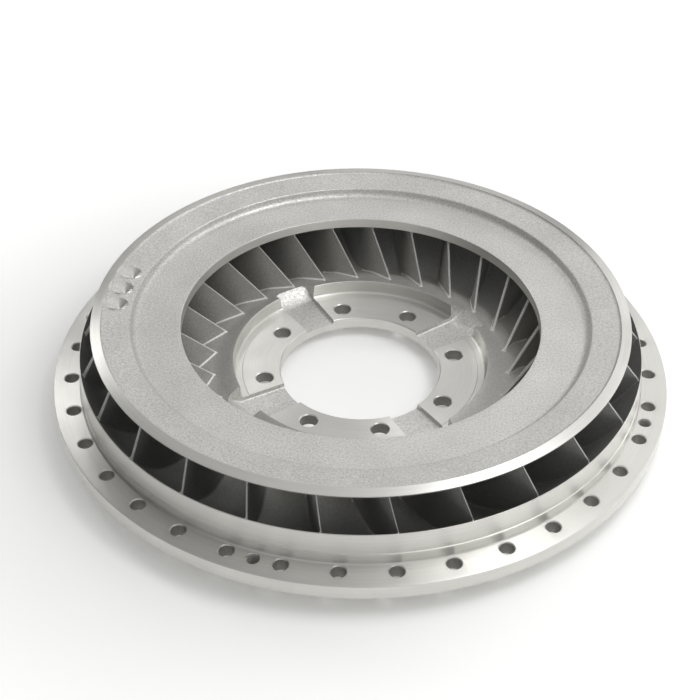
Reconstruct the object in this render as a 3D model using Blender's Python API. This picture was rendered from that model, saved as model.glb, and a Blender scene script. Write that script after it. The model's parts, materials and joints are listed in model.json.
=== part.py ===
"""Cast torque converter impeller: a shrouded vane ring with a bolting flange and a bolted hub.

Metres, +Z up. The axis of rotation is Z and the origin is on it, level with the resting face
under the shell. A hub bolt hole lies on +X. Sizes below are in millimetres.
"""
import math

import bmesh
import bpy
from mathutils import Matrix, Vector

MM = 0.001
GAP = 0.3
SEGMENTS = 72
HOLE_SEGMENTS = 12
CUTTER_OVERRUN = 4.0
SMOOTH_ANGLE = 25.0
METALLIC = 0.9

# Bolting flange
FLANGE_RADIUS = 232.0
FLANGE_UNDERSIDE = 13.0
FLANGE_TOP = 24.0
FLANGE_INNER_RADIUS = 191.0
FLANGE_BOLT_CIRCLE = 219.0
FLANGE_BOLTS = 36
FLANGE_BOLT_HOLE = 10.3
FLANGE_BOLT_START = 5.0
TAPPED_HOLES = 4
TAPPED_HOLE = 8.4
TAPPED_START = 60.0
FLANGE_CHAMFER = 0.8

# Machined band between the flange and the outlet
BAND_FOOT_RADIUS = 212.0
BAND_STEP_HEIGHT = 8.6
BAND_STEP_CHAMFER = 0.6
BAND_SEAT_DEPTH = 1.0
BAND_RADIUS = 211.2
LIP_RADIUS = 210.0
LIP_TOP = 49.3

# Hub
BORE_RADIUS = 61.5
BORE_CHAMFER = 1.1
HUB_UNDERSIDE = 8.0
HUB_FACE = 18.0
COUNTERBORE_RADIUS = 97.0
COUNTERBORE_TOP = 28.6
HUB_BOLT_CIRCLE = 74.2
HUB_BOLTS = 8
HUB_BOLT_HOLE = 13.1
HUB_OFFSET_BOLTS = (1, 5)
HUB_OFFSET_ANGLE = 3.0
NOTCHES = 4
NOTCH_START = 22.5
NOTCH_WIDTH = 28.0
NOTCH_FLOOR = 14.4
NOTCH_RAMP_FOOT = 90.0
NOTCH_RAMP_TOP = 101.5
NOTCH_OVERRUN = 10.0

# Shell: (radius, height, slope) of its water side, joined by smooth cubics
CREST_RADIUS = 98.0
SHELL_STATIONS = (
    (CREST_RADIUS, 28.4, -0.45),
    (113.0, 21.0, -0.25),
    (128.0, 15.6, -0.70),
    (150.0, 8.0, 0.0),
    (LIP_RADIUS, LIP_TOP, 1.73),
)
RIM_OUTER_RADIUS = 113.0
INNER_WALL_OUTER_RADIUS = 140.0
FLOOR_OUTER_RADIUS = 164.0
OUTER_WALL_RADIUS = 178.0
HUB_TURN_UP_RADIUS = 120.0
REST_INNER_RADIUS = 136.0
REST_OUTER_RADIUS = 162.0
SHELL_TURN_UP_RADIUS = 182.0
SHELL_TURN_UP_HEIGHT = 9.0
CREST_POINTS = 3
FLOOR_POINTS = 4
WALL_POINTS = 5

# Core ring: underside like the shell's, then the levels of its top
EYE_RADIUS = 134.5
RIM_EDGE_RADIUS = 200.0
CORE_STATIONS = (
    (EYE_RADIUS, 56.7, -0.70),
    (162.0, 46.0, 0.0),
    (RIM_EDGE_RADIUS, 72.6, 0.58),
)
CORE_POINTS = 6
EYE_TOP = 64.5
CORE_SPLIT_RADIUS = 165.5
INNER_ZONE_TOP = 64.3
STEP_MID_RADIUS = 168.3
STEP_MID_HEIGHT = 68.0
STEP_TOP_RADIUS = 170.2
STEP_TOP = 71.0
OUTER_ZONE_RADIUS = 191.6
OUTER_ZONE_TOP = 73.4
RIM_BAND_RADIUS = 192.0
RIM_BAND_TOP = 74.6
RIM_EDGE_TOP = 73.8
DIMPLE_CIRCLE = 181.0
DIMPLE_ANGLES = (155.0, 161.3, 167.6)
DIMPLE_DIAMETER = 16.0
DIMPLE_POINT_ANGLE = 118.0
DIMPLE_SEGMENTS = 14
MERGE_DISTANCE = 0.001

# Vanes
VANES = 26
VANE_START = -3.6
VANE_THICKNESS = 2.4
VANE_STATIONS = 11
VANE_CROWDING = 1.25
VANE_CLEARANCE = 0.4
ROOT_INLET_RADIUS = 112.6
ROOT_OUTLET_RADIUS = 207.6
TIP_INLET_RADIUS = 136.8
TIP_OUTLET_RADIUS = 194.4
INLET_HOOK = 11.0
INLET_HOOK_LENGTH = 14.0
SWEEP_RATE = 0.094
TIP_LAG_INLET = 2.2
TIP_LAG_OUTLET = 0.2

CAST = ((0.50, 0.50, 0.48), 0.62)
MACHINED = ((0.68, 0.68, 0.66), 0.32)
PASSAGE = ((0.30, 0.30, 0.29), 0.60)


def clear_scene():
    for item in list(bpy.data.objects):
        bpy.data.objects.remove(item, do_unlink=True)


def material(name, finish):
    colour, roughness = finish
    made = bpy.data.materials.new(name)
    made.use_nodes = True
    shader = made.node_tree.nodes["Principled BSDF"]
    shader.inputs["Base Color"].default_value = (*colour, 1.0)
    shader.inputs["Roughness"].default_value = roughness
    shader.inputs["Metallic"].default_value = METALLIC
    made.diffuse_color = (*colour, 1.0)
    return made


def add_object(name, mesh, finish=None):
    item = bpy.data.objects.new(name, mesh)
    bpy.context.scene.collection.objects.link(item)
    if finish is not None:
        mesh.materials.append(material(name + "_metal", finish))
        mesh.shade_smooth()
        mesh.set_sharp_from_angle(angle=math.radians(SMOOTH_ANGLE))
    return item


def smooth_height(stations, radius):
    """Height at a radius on the curve through (radius, height, slope) stations."""
    for (r0, h0, m0), (r1, h1, m1) in zip(stations, stations[1:]):
        if radius <= r1 or r1 == stations[-1][0]:
            break
    width = r1 - r0
    t = (radius - r0) / width
    rise = (h1 - h0) * (3.0 * t ** 2 - 2.0 * t ** 3)
    return h0 + rise + width * (m0 * (t - 2.0 * t ** 2 + t ** 3) + m1 * (t ** 3 - t ** 2))


def curve_points(stations, start, end, count):
    """Points of a stationed curve from one radius to another, both ends included."""
    radii = [start + (end - start) * k / (count - 1) for k in range(count)]
    return [(radius, smooth_height(stations, radius)) for radius in radii]


def ring(name, outline, finish):
    """Turned ring from its half section, a closed outline of (radius, height) points."""
    mesh = bpy.data.meshes.new(name)
    bm = bmesh.new()
    loops = []
    for k in range(SEGMENTS):
        angle = 2.0 * math.pi * k / SEGMENTS
        c = math.cos(angle) * MM
        s = math.sin(angle) * MM
        loops.append([bm.verts.new((r * c, r * s, h * MM)) for r, h in outline])
    for k in range(SEGMENTS):
        here = loops[k]
        there = loops[(k + 1) % SEGMENTS]
        for i in range(len(outline)):
            j = (i + 1) % len(outline)
            bm.faces.new((here[i], here[j], there[j], there[i]))
    bmesh.ops.recalc_face_normals(bm, faces=bm.faces)
    bm.to_mesh(mesh)
    bm.free()
    return add_object(name, mesh, finish)


def cutter(name, bm):
    mesh = bpy.data.meshes.new(name)
    bmesh.ops.recalc_face_normals(bm, faces=bm.faces)
    bm.to_mesh(mesh)
    bm.free()
    item = add_object(name, mesh)
    item.hide_render = True
    item.display_type = "WIRE"
    return item


def cut(item, tool):
    modifier = item.modifiers.new(tool.name, "BOOLEAN")
    modifier.operation = "DIFFERENCE"
    modifier.solver = "EXACT"
    modifier.object = tool


def polar(radius, degrees, height):
    angle = math.radians(degrees)
    return Vector((radius * math.cos(angle), radius * math.sin(angle), height)) * MM


def hole_cutter(name, places, low, high):
    """Round pins at (circle radius, degrees, diameter) places, between two heights."""
    bm = bmesh.new()
    for circle, degrees, diameter in places:
        place = Matrix.Translation(polar(circle, degrees, (low + high) / 2.0))
        turn = Matrix.Rotation(math.radians(degrees), 4, "Z")
        bmesh.ops.create_cone(
            bm, cap_ends=True, segments=HOLE_SEGMENTS, depth=(high - low) * MM,
            radius1=diameter / 2.0 * MM, radius2=diameter / 2.0 * MM, matrix=place @ turn)
    return cutter(name, bm)


def flange_holes():
    places = []
    for k in range(FLANGE_BOLTS):
        degrees = FLANGE_BOLT_START + 360.0 * k / FLANGE_BOLTS
        places.append((FLANGE_BOLT_CIRCLE, degrees, FLANGE_BOLT_HOLE))
    for k in range(TAPPED_HOLES):
        degrees = TAPPED_START + 360.0 * k / TAPPED_HOLES
        places.append((FLANGE_BOLT_CIRCLE, degrees, TAPPED_HOLE))
    return places


def hub_holes():
    places = []
    for k in range(HUB_BOLTS):
        offset = HUB_OFFSET_ANGLE if k in HUB_OFFSET_BOLTS else 0.0
        degrees = 360.0 * k / HUB_BOLTS + offset
        places.append((HUB_BOLT_CIRCLE, degrees, HUB_BOLT_HOLE))
    return places


def notch_cutter():
    """Four cast notches: a floor below the hub face and a ramp up through the counterbore wall."""
    above = COUNTERBORE_TOP + CUTTER_OVERRUN
    inside = BORE_RADIUS - NOTCH_OVERRUN
    slope = (NOTCH_RAMP_TOP - NOTCH_RAMP_FOOT) / (COUNTERBORE_TOP - NOTCH_FLOOR)
    ramp_end = NOTCH_RAMP_TOP + slope * (above - COUNTERBORE_TOP)
    side = ((inside, NOTCH_FLOOR), (NOTCH_RAMP_FOOT, NOTCH_FLOOR), (ramp_end, above), (inside, above))
    bm = bmesh.new()
    for k in range(NOTCHES):
        turn = Matrix.Rotation(math.radians(NOTCH_START + 360.0 * k / NOTCHES), 4, "Z")
        left = []
        right = []
        for radius, height in side:
            left.append(bm.verts.new(turn @ (Vector((radius, NOTCH_WIDTH / 2.0, height)) * MM)))
            right.append(bm.verts.new(turn @ (Vector((radius, -NOTCH_WIDTH / 2.0, height)) * MM)))
        bm.faces.new(left)
        bm.faces.new(list(reversed(right)))
        for i in range(len(side)):
            j = (i + 1) % len(side)
            bm.faces.new((left[i], right[i], right[j], left[j]))
    return cutter("notch_cutter", bm)


def dimple_cutter():
    """Conical balance drillings in the outer zone of the core ring."""
    radius = DIMPLE_DIAMETER / 2.0
    steepness = 1.0 / math.tan(math.radians(DIMPLE_POINT_ANGLE / 2.0))
    depth = radius * steepness
    reach = 2.0 * depth
    share = (DIMPLE_CIRCLE - STEP_TOP_RADIUS) / (OUTER_ZONE_RADIUS - STEP_TOP_RADIUS)
    surface = STEP_TOP + (OUTER_ZONE_TOP - STEP_TOP) * share
    bm = bmesh.new()
    for degrees in DIMPLE_ANGLES:
        place = Matrix.Translation(polar(DIMPLE_CIRCLE, degrees, surface - depth + reach / 2.0))
        bmesh.ops.create_cone(
            bm, cap_ends=True, segments=DIMPLE_SEGMENTS, depth=reach * MM,
            radius1=0.0, radius2=reach / steepness * MM, matrix=place)
    bmesh.ops.remove_doubles(bm, verts=bm.verts, dist=MERGE_DISTANCE * MM)
    return cutter("dimple_cutter", bm)


def build_hub():
    outer = COUNTERBORE_RADIUS - GAP
    flange = ring("hub_flange", (
        (BORE_RADIUS, HUB_UNDERSIDE),
        (outer, HUB_UNDERSIDE),
        (outer, HUB_FACE),
        (BORE_RADIUS + BORE_CHAMFER, HUB_FACE),
        (BORE_RADIUS, HUB_FACE - BORE_CHAMFER),
    ), MACHINED)
    crest = curve_points(SHELL_STATIONS, CREST_RADIUS, RIM_OUTER_RADIUS, CREST_POINTS)
    rim = ring("counterbore_rim", (
        (COUNTERBORE_RADIUS, HUB_UNDERSIDE),
        (RIM_OUTER_RADIUS, HUB_UNDERSIDE),
        *reversed(crest),
        (COUNTERBORE_RADIUS, COUNTERBORE_TOP),
    ), CAST)
    notches = notch_cutter()
    cut(flange, notches)
    cut(rim, notches)
    cut(flange, hole_cutter("hub_bolt_cutter", hub_holes(),
                            HUB_UNDERSIDE - CUTTER_OVERRUN, HUB_FACE + CUTTER_OVERRUN))


def underside(radius):
    """Height of the shell's outside where it turns up from the resting face."""
    share = (radius - REST_OUTER_RADIUS) / (SHELL_TURN_UP_RADIUS - REST_OUTER_RADIUS)
    return SHELL_TURN_UP_HEIGHT * share


def build_shell():
    inner = RIM_OUTER_RADIUS + GAP
    ring("shell_inner_wall", (
        (inner, HUB_UNDERSIDE),
        (HUB_TURN_UP_RADIUS, HUB_UNDERSIDE),
        (REST_INNER_RADIUS, 0.0),
        (INNER_WALL_OUTER_RADIUS, 0.0),
        *reversed(curve_points(SHELL_STATIONS, inner, INNER_WALL_OUTER_RADIUS, WALL_POINTS)),
    ), CAST)
    inner = INNER_WALL_OUTER_RADIUS + GAP
    ring("shell_floor", (
        (inner, 0.0),
        (REST_OUTER_RADIUS, 0.0),
        (FLOOR_OUTER_RADIUS, underside(FLOOR_OUTER_RADIUS)),
        *reversed(curve_points(SHELL_STATIONS, inner, FLOOR_OUTER_RADIUS, FLOOR_POINTS)),
    ), CAST)
    inner = FLOOR_OUTER_RADIUS + GAP
    ring("shell_outer_wall", (
        (inner, underside(inner)),
        (OUTER_WALL_RADIUS, underside(OUTER_WALL_RADIUS)),
        *reversed(curve_points(SHELL_STATIONS, inner, OUTER_WALL_RADIUS, FLOOR_POINTS)),
    ), CAST)
    inner = OUTER_WALL_RADIUS + GAP
    outer = FLANGE_INNER_RADIUS - GAP
    ring("shell_shoulder", (
        (inner, underside(inner)),
        (SHELL_TURN_UP_RADIUS, SHELL_TURN_UP_HEIGHT),
        (outer, FLANGE_UNDERSIDE),
        *reversed(curve_points(SHELL_STATIONS, inner, outer, FLOOR_POINTS)),
    ), CAST)


def build_flange():
    """Flange with a shallow seat for the band, so that its bolting face is the bare part alone."""
    seat = FLANGE_TOP - BAND_SEAT_DEPTH
    flange = ring("bolting_flange", (
        (FLANGE_INNER_RADIUS, FLANGE_UNDERSIDE),
        (FLANGE_RADIUS, FLANGE_UNDERSIDE),
        (FLANGE_RADIUS, FLANGE_TOP - FLANGE_CHAMFER),
        (FLANGE_RADIUS - FLANGE_CHAMFER, FLANGE_TOP),
        (BAND_FOOT_RADIUS + GAP, FLANGE_TOP),
        (BAND_FOOT_RADIUS + GAP, seat),
        (FLANGE_INNER_RADIUS, seat),
    ), MACHINED)
    cut(flange, hole_cutter("flange_hole_cutter", flange_holes(),
                            FLANGE_UNDERSIDE - CUTTER_OVERRUN, FLANGE_TOP + CUTTER_OVERRUN))
    step = FLANGE_TOP + BAND_STEP_HEIGHT
    ring("outlet_band", (
        (FLANGE_INNER_RADIUS, seat + GAP),
        (BAND_FOOT_RADIUS, seat + GAP),
        (BAND_FOOT_RADIUS, step),
        (BAND_RADIUS, step + BAND_STEP_CHAMFER),
        *reversed(curve_points(SHELL_STATIONS, FLANGE_INNER_RADIUS, LIP_RADIUS, WALL_POINTS)),
    ), MACHINED)


def build_core_ring():
    outer = CORE_SPLIT_RADIUS - GAP
    ring("core_ring_inner", (
        (EYE_RADIUS, EYE_TOP),
        *curve_points(CORE_STATIONS, EYE_RADIUS, outer, CORE_POINTS),
        (outer, INNER_ZONE_TOP),
    ), CAST)
    outer_zone = ring("core_ring_outer", (
        (CORE_SPLIT_RADIUS, INNER_ZONE_TOP),
        *curve_points(CORE_STATIONS, CORE_SPLIT_RADIUS, RIM_EDGE_RADIUS, CORE_POINTS),
        (RIM_EDGE_RADIUS, RIM_EDGE_TOP),
        (RIM_BAND_RADIUS, RIM_BAND_TOP),
        (OUTER_ZONE_RADIUS, OUTER_ZONE_TOP),
        (STEP_TOP_RADIUS, STEP_TOP),
        (STEP_MID_RADIUS, STEP_MID_HEIGHT),
    ), CAST)
    cut(outer_zone, dimple_cutter())


def facet_radius(radius, degrees):
    """Radius at which the turned rings' facets must be read for a point between two corners."""
    pitch = 360.0 / SEGMENTS
    off_middle = degrees % pitch - pitch / 2.0
    return radius * math.cos(math.radians(off_middle)) / math.cos(math.radians(pitch / 2.0))


def root_sweep(radius):
    """Degrees that the vane's root has turned from its inlet, steep first and then steady."""
    run = radius - ROOT_INLET_RADIUS
    return INLET_HOOK * (1.0 - math.exp(-run / INLET_HOOK_LENGTH)) + SWEEP_RATE * run


def tip_sweep(radius):
    """The vane's edge at the core ring lags its root, most at the inlet."""
    share = (radius - TIP_INLET_RADIUS) / (TIP_OUTLET_RADIUS - TIP_INLET_RADIUS)
    return root_sweep(radius) - TIP_LAG_INLET + (TIP_LAG_INLET - TIP_LAG_OUTLET) * share


def vane_edge(start, inlet, outlet, sweep):
    """Plan points along the middle of one edge of a vane, from the eye to the outlet."""
    points = []
    for k in range(VANE_STATIONS):
        radius = inlet + (outlet - inlet) * (k / (VANE_STATIONS - 1)) ** VANE_CROWDING
        points.append(polar(radius, start + sweep(radius), 0.0))
    return points


def vane_sides(points, stations, clearance):
    """Both sides of a vane's edge, half its thickness out and seated on a turned surface."""
    sides = []
    for k, point in enumerate(points):
        before = points[max(k - 1, 0)]
        after = points[min(k + 1, len(points) - 1)]
        along = (after - before).normalized()
        step = Vector((-along.y, along.x, 0.0)) * (VANE_THICKNESS / 2.0 * MM)
        pair = []
        for place in (point + step, point - step):
            degrees = math.degrees(math.atan2(place.y, place.x))
            height = smooth_height(stations, facet_radius(place.length / MM, degrees))
            pair.append(Vector((place.x, place.y, (height + clearance) * MM)))
        sides.append(pair)
    return sides


def vane_mesh(name, start):
    root_line = vane_edge(start, ROOT_INLET_RADIUS, ROOT_OUTLET_RADIUS, root_sweep)
    tip_line = vane_edge(start, TIP_INLET_RADIUS, TIP_OUTLET_RADIUS, tip_sweep)
    roots = vane_sides(root_line, SHELL_STATIONS, VANE_CLEARANCE)
    tips = vane_sides(tip_line, CORE_STATIONS, -VANE_CLEARANCE)
    bm = bmesh.new()
    loops = []
    for root, tip in zip(roots, tips):
        corners = (root[0], root[1], tip[1], tip[0])
        loops.append([bm.verts.new(corner) for corner in corners])
    for here, there in zip(loops, loops[1:]):
        for i in range(4):
            j = (i + 1) % 4
            bm.faces.new((here[i], here[j], there[j], there[i]))
    bm.faces.new(loops[0])
    bm.faces.new(list(reversed(loops[-1])))
    bmesh.ops.recalc_face_normals(bm, faces=bm.faces)
    mesh = bpy.data.meshes.new(name)
    bm.to_mesh(mesh)
    bm.free()
    return mesh


def build_vanes():
    for k in range(VANES):
        name = "vane_{:02d}".format(k + 1)
        add_object(name, vane_mesh(name, VANE_START + 360.0 * k / VANES), PASSAGE)


def main():
    clear_scene()
    build_hub()
    build_shell()
    build_flange()
    build_core_ring()
    build_vanes()


main()
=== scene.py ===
"""Cast torque converter impeller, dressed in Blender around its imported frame.

The frame is in metres with +Z up. Its origin is on the axis of rotation, level with the
resting face under the shell. Sizes below are in millimetres unless a comment or a property
says otherwise.
"""
import json
import math

import bpy
import numpy as np
from bpy.props import (FloatProperty, FloatVectorProperty, IntProperty, PointerProperty,
                       StringProperty)
from mathutils import Matrix, Vector

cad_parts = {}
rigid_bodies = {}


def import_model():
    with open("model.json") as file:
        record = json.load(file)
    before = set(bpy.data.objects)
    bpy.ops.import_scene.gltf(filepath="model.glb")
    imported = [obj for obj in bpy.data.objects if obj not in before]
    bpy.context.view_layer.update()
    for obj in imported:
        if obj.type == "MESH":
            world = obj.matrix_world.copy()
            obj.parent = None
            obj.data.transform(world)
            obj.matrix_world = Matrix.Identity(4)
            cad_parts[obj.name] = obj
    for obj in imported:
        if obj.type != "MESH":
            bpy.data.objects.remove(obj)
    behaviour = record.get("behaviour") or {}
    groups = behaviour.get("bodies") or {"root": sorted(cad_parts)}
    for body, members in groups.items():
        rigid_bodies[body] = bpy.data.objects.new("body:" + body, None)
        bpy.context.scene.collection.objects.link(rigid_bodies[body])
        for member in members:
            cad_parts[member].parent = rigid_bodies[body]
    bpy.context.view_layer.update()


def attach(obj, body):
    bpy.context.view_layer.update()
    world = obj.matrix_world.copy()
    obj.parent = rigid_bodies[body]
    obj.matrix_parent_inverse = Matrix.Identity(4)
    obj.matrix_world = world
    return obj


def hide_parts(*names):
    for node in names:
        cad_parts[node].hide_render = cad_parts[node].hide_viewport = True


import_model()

bl_info = {
    "name": "Torque Converter Impeller",
    "version": (1, 0, 0),
    "blender": (4, 5, 0),
    "location": "3D View > Sidebar > Impeller",
    "description": "Builds the detailed casting, its vanes and its turned faces around the frame",
    "category": "Add Mesh",
}

MM = 0.001
BODY = "root"
CUT_OVERRUN = 1.0  # how far a hole's cutter runs past the faces that it leaves

# Bolting flange
FLANGE_RADIUS = 232.0
FLANGE_UNDERSIDE = 13.0
FLANGE_TOP = 24.0
FLANGE_INNER_RADIUS = 191.0
FLANGE_BOLT_CIRCLE = 219.0
FLANGE_BOLTS = 36
FLANGE_BOLT_START = 5.0
TAPPED_HOLES = 4
TAPPED_START = 60.0
THREAD_DEPTH = 0.6  # as a share of the pitch
MOUTH_CHAMFER = 0.2
MOUTH_HEIGHTS = (-1.1, 1.2)  # ends of the countersink's cutter, from the flange's top

# Turned band between the flange and the outlet
BAND_FOOT_RADIUS = 212.0
BAND_FILLET = 0.9
BAND_SEAT = 0.6  # how far the band's mesh runs into the flange
BAND_STEP_HEIGHT = 8.6
BAND_RADIUS = 211.2
LIP_RADIUS = 210.0
LIP_TOP = 49.3

# Hub
BORE_RADIUS = 61.5
HUB_UNDERSIDE = 8.0
HUB_FACE = 18.0
COUNTERBORE_RADIUS = 97.0
COUNTERBORE_TOP = 28.6
RELIEF_RADIUS = 90.2
RELIEF_FACE = 17.5
HUB_BOLT_CIRCLE = 74.2
HUB_BOLTS = 8
HUB_OFFSET_BOLTS = (1, 5)
HUB_OFFSET_ANGLE = 3.0
NOTCHES = 4
NOTCH_START = 20.9
NOTCH_FLOOR = 14.4
NOTCH_RAMP = 95.0
NOTCH_END = 109.5
NOTCH_LIP_HEIGHT = 23.4
NOTCH_CUT_TOP = 34.6
NOTCH_HALF_WIDTH = 12.6  # at the bore
NOTCH_FLARE = 0.06  # growth of that half width for each millimetre outward
NOTCH_CORNER = 7.0
NOTCH_FILLET = 1.7
NOTCH_DRAFT = 0.1
NOTCH_STATIONS = (50.0, 62.0, 73.0, 84.0, *np.linspace(NOTCH_RAMP, NOTCH_END, 22),
                  NOTCH_END + 1.5)

# Shell and core ring: (radius, height, slope) of the water side, joined by smooth cubics
CREST_RADIUS = 98.0
HUB_OUTER_RADIUS = 113.0
SHELL_STATIONS = (
    (CREST_RADIUS, 28.4, -0.45),
    (HUB_OUTER_RADIUS, 21.0, -0.25),
    (128.0, 15.6, -0.70),
    (150.0, 8.0, 0.0),
    (LIP_RADIUS, LIP_TOP, 1.73),
)
LAND_INNER_RADIUS = 136.0
LAND_OUTER_RADIUS = 162.0
EYE_RADIUS = 134.5
EYE_UNDERSIDE = 56.7
EYE_TOP = 64.5
RIM_EDGE_RADIUS = 200.0
CORE_STATIONS = (
    (EYE_RADIUS, EYE_UNDERSIDE, -0.70),
    (162.0, 46.0, 0.0),
    (RIM_EDGE_RADIUS, 72.6, 0.58),
)

# Top of the core ring, with its step and the low bead inside the rim
STEP_FOOT_RADIUS = 169.0
STEP_FOOT_HEIGHT = 64.35
STEP_TOP_RADIUS = 171.3
STEP_TOP_HEIGHT = 71.0
BEAD_FOOT_RADIUS = 191.9
BEAD_FOOT_HEIGHT = 72.95
BEAD_RADIUS = 192.7
BEAD_TOP = 74.59
RIM_EDGE_TOP = 73.5

# Conical balance drillings
DRILLING_CIRCLE = 181.5
DRILLING_ANGLES = (154.4, 160.7, 167.0)
DRILL_POINT = 59.0  # half of the point's angle

# Vanes
VANES = 26
VANE_START = -3.6
ROOT_INLET_RADIUS = 112.6
ROOT_OUTLET_RADIUS = 208.8
TIP_INLET_RADIUS = 136.8
TIP_OUTLET_RADIUS = 194.4
INLET_HOOK = 11.0
INLET_HOOK_LENGTH = 14.0
SWEEP_RATE = 0.094
TIP_LAG_INLET = 2.2
TIP_LAG_OUTLET = 0.2
INLET_TAPER = 0.3  # how much thinner a vane is at its inlet, as a share
INLET_TAPER_END = 0.1  # where the full thickness is reached, as a share of the length
OUTLET_TAPER = 0.6
OUTLET_TAPER_START = 0.85
VANE_EDGE_BEVEL = 0.2
VANE_SINK = 0.3  # how far the fillets run into the shell and the core ring
FILLET_POINTS = 6
WALL_POINTS = 4

# Sizes of the patterns on the finishes, as coarse as they need to be to show
CAST_GRAIN = 1.4
CAST_PITS = 2.4
CAST_PATCHES = 40.0
LATHE_FEED = 0.8
LATHE_PATCHES = 25.0
DRILL_MARKS = 1.2
CORE_GRAIN = 1.3
FILE_MARKS = 1.3
SHOT_AND_SHADE_REACH = (124.0, 172.0)  # radii between which the passages turn dull and darker, partly with painted shade
NOISE_RANGE = {"From Min": 0.3, "From Max": 0.7}  # where most of a noise node's values lie

# Studio, in metres and watts
FLOOR_REACH = 40.0
FLOOR_DROP = 0.0005
GLOW_RANGE = {"From Min": 0.22, "From Max": 0.5, "To Min": 0.14, "To Max": 0.6}
FAR_SIDE = (0.19, 0.95, 0.0)  # away from the camera, where the room is dark
WALL_RANGE = {"From Min": 0.0, "From Max": -1.0, "To Min": 0.03, "To Max": 0.7}
CEILING_RANGE = {"From Min": 0.25, "From Max": 1.0, "To Min": 0.0, "To Max": 0.75}
WINDOW_DIRECTION = (0.36, 0.65, 0.669)
WINDOW_FALLOFF = 16.0
WINDOW_LEVEL = 1.5
CENTRE = (0.0, 0.0, 0.03)
RIGHT_OF_CENTRE = (0.1, 0.0, 0.03)
SOFT_BOXES = (
    # name, place, point that it faces, (width, height), power
    ("back_left_strip", (-0.86, 1.33, 0.95), CENTRE, (0.3, 0.6), 2.7),
    ("back_strip", (-0.04, 1.23, 1.02), CENTRE, (0.25, 0.25), 0.5),
    ("back_right_soft_box", (1.15, 0.81, 0.95), CENTRE, (0.5, 0.5), 0.5),
    ("back_right_low_box", (1.07, 1.03, 0.6), CENTRE, (0.5, 0.4), 0.9),
    ("back_low_box", (0.46, 1.33, 0.51), CENTRE, (0.5, 0.3), 0.5),
    ("right_far_box", (1.35, 0.34, 0.56), CENTRE, (0.6, 0.5), 1.2),
    ("right_high_box", (0.37, -0.13, 0.8), (0.05, 0.0, 0.03), (0.4, 0.4), 1.9),
    ("right_soft_box", (0.73, -0.14, 0.67), RIGHT_OF_CENTRE, (0.9, 0.9), 1.4),
    ("right_low_box", (0.82, -0.16, 0.34), RIGHT_OF_CENTRE, (0.6, 0.3), 0.4),
    ("front_right_soft_box", (0.18, -0.36, 0.48), (0.1, -0.05, 0.03), (0.4, 0.4), 0.3),
    ("top_soft_box", (0.0, 0.1, 1.3), CENTRE, (0.7, 0.7), 0.5),
)


def srgb(hex_colour):
    """Linear red, green, blue and alpha from a hex colour such as #B4B2AC."""
    values = []
    for k in (1, 3, 5):
        part = int(hex_colour[k:k + 2], 16) / 255.0
        values.append(part / 12.92 if part <= 0.04045 else ((part + 0.055) / 1.055) ** 2.4)
    return (*values, 1.0)


class CastingSizes(bpy.types.PropertyGroup):
    flange_hole: FloatProperty(
        name="Flange bolt hole", description="Diameter of the 36 clearance holes",
        default=0.0103, min=0.006, max=0.014, unit="LENGTH", precision=4)
    tapped_hole: FloatProperty(
        name="Jacking thread", description="Outer diameter of the thread in the four jacking holes",
        default=0.00953, min=0.006, max=0.012, unit="LENGTH", precision=5)
    thread_pitch: FloatProperty(
        name="Thread pitch", description="Distance between turns of the jacking thread",
        default=0.00159, min=0.001, max=0.003, unit="LENGTH", precision=5)
    hub_hole: FloatProperty(
        name="Hub bolt hole", description="Diameter of the eight holes round the bore",
        default=0.0131, min=0.008, max=0.016, unit="LENGTH", precision=4)
    hole_chamfer: FloatProperty(
        name="Hole chamfer", description="Width of the chamfer round each hole",
        default=0.0007, min=0.0002, max=0.002, unit="LENGTH", precision=5)
    dimple: FloatProperty(
        name="Balance drilling", description="Diameter of the three conical balance drillings",
        default=0.016, min=0.006, max=0.02, unit="LENGTH", precision=4)
    turned_segments: IntProperty(
        name="Turned segments", description="Sides of each turned ring",
        default=360, min=72, max=720)
    vane_thickness: FloatProperty(
        name="Vane thickness", description="Thickness of a vane between its fillets",
        default=0.0024, min=0.0015, max=0.004, unit="LENGTH", precision=5)
    vane_fillet: FloatProperty(
        name="Vane fillet", description="Radius where a vane meets the shell and the core ring",
        default=0.002, min=0.0005, max=0.004, unit="LENGTH", precision=5)


class FinishColours(bpy.types.PropertyGroup):
    cast: StringProperty(
        name="Sand cast", description="Hex colour of the as-cast outside faces", default="#DCDBD7")
    turned: StringProperty(
        name="Turned", description="Hex colour of the turned faces", default="#E3E2DD")
    # Painted shade: the hole colour is darker than the turned faces to stand for the shade down the
    # holes.
    hole: StringProperty(
        name="Drilled holes", description="Hex colour down the drilled and tapped holes",
        default="#9E9D98")
    # The passage colours darken from the mouth inward: partly the duller finish where the shot
    # didn't reach, partly painted shade deep in the passages.
    passage_dull_and_shade: StringProperty(
        name="Core cast", description="Hex colour deep in the passages, cast against a smooth core",
        default="#8E8E8B")
    passage_mouth: StringProperty(
        name="Passage mouth", default="#B6B5B1",
        description="Hex colour of the passages near the eye, where they are blasted")
    # Painted highlight: the vanes' edges and root fillets near the eye take this pale colour to
    # stand for the light that they catch.
    edge: StringProperty(
        name="Dressed edge", description="Hex colour of the vanes' dressed and blasted edges",
        default="#EFEEE9")
    floor: StringProperty(
        name="Floor", description="Hex colour of the studio floor", default="#FAFAF9")


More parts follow.
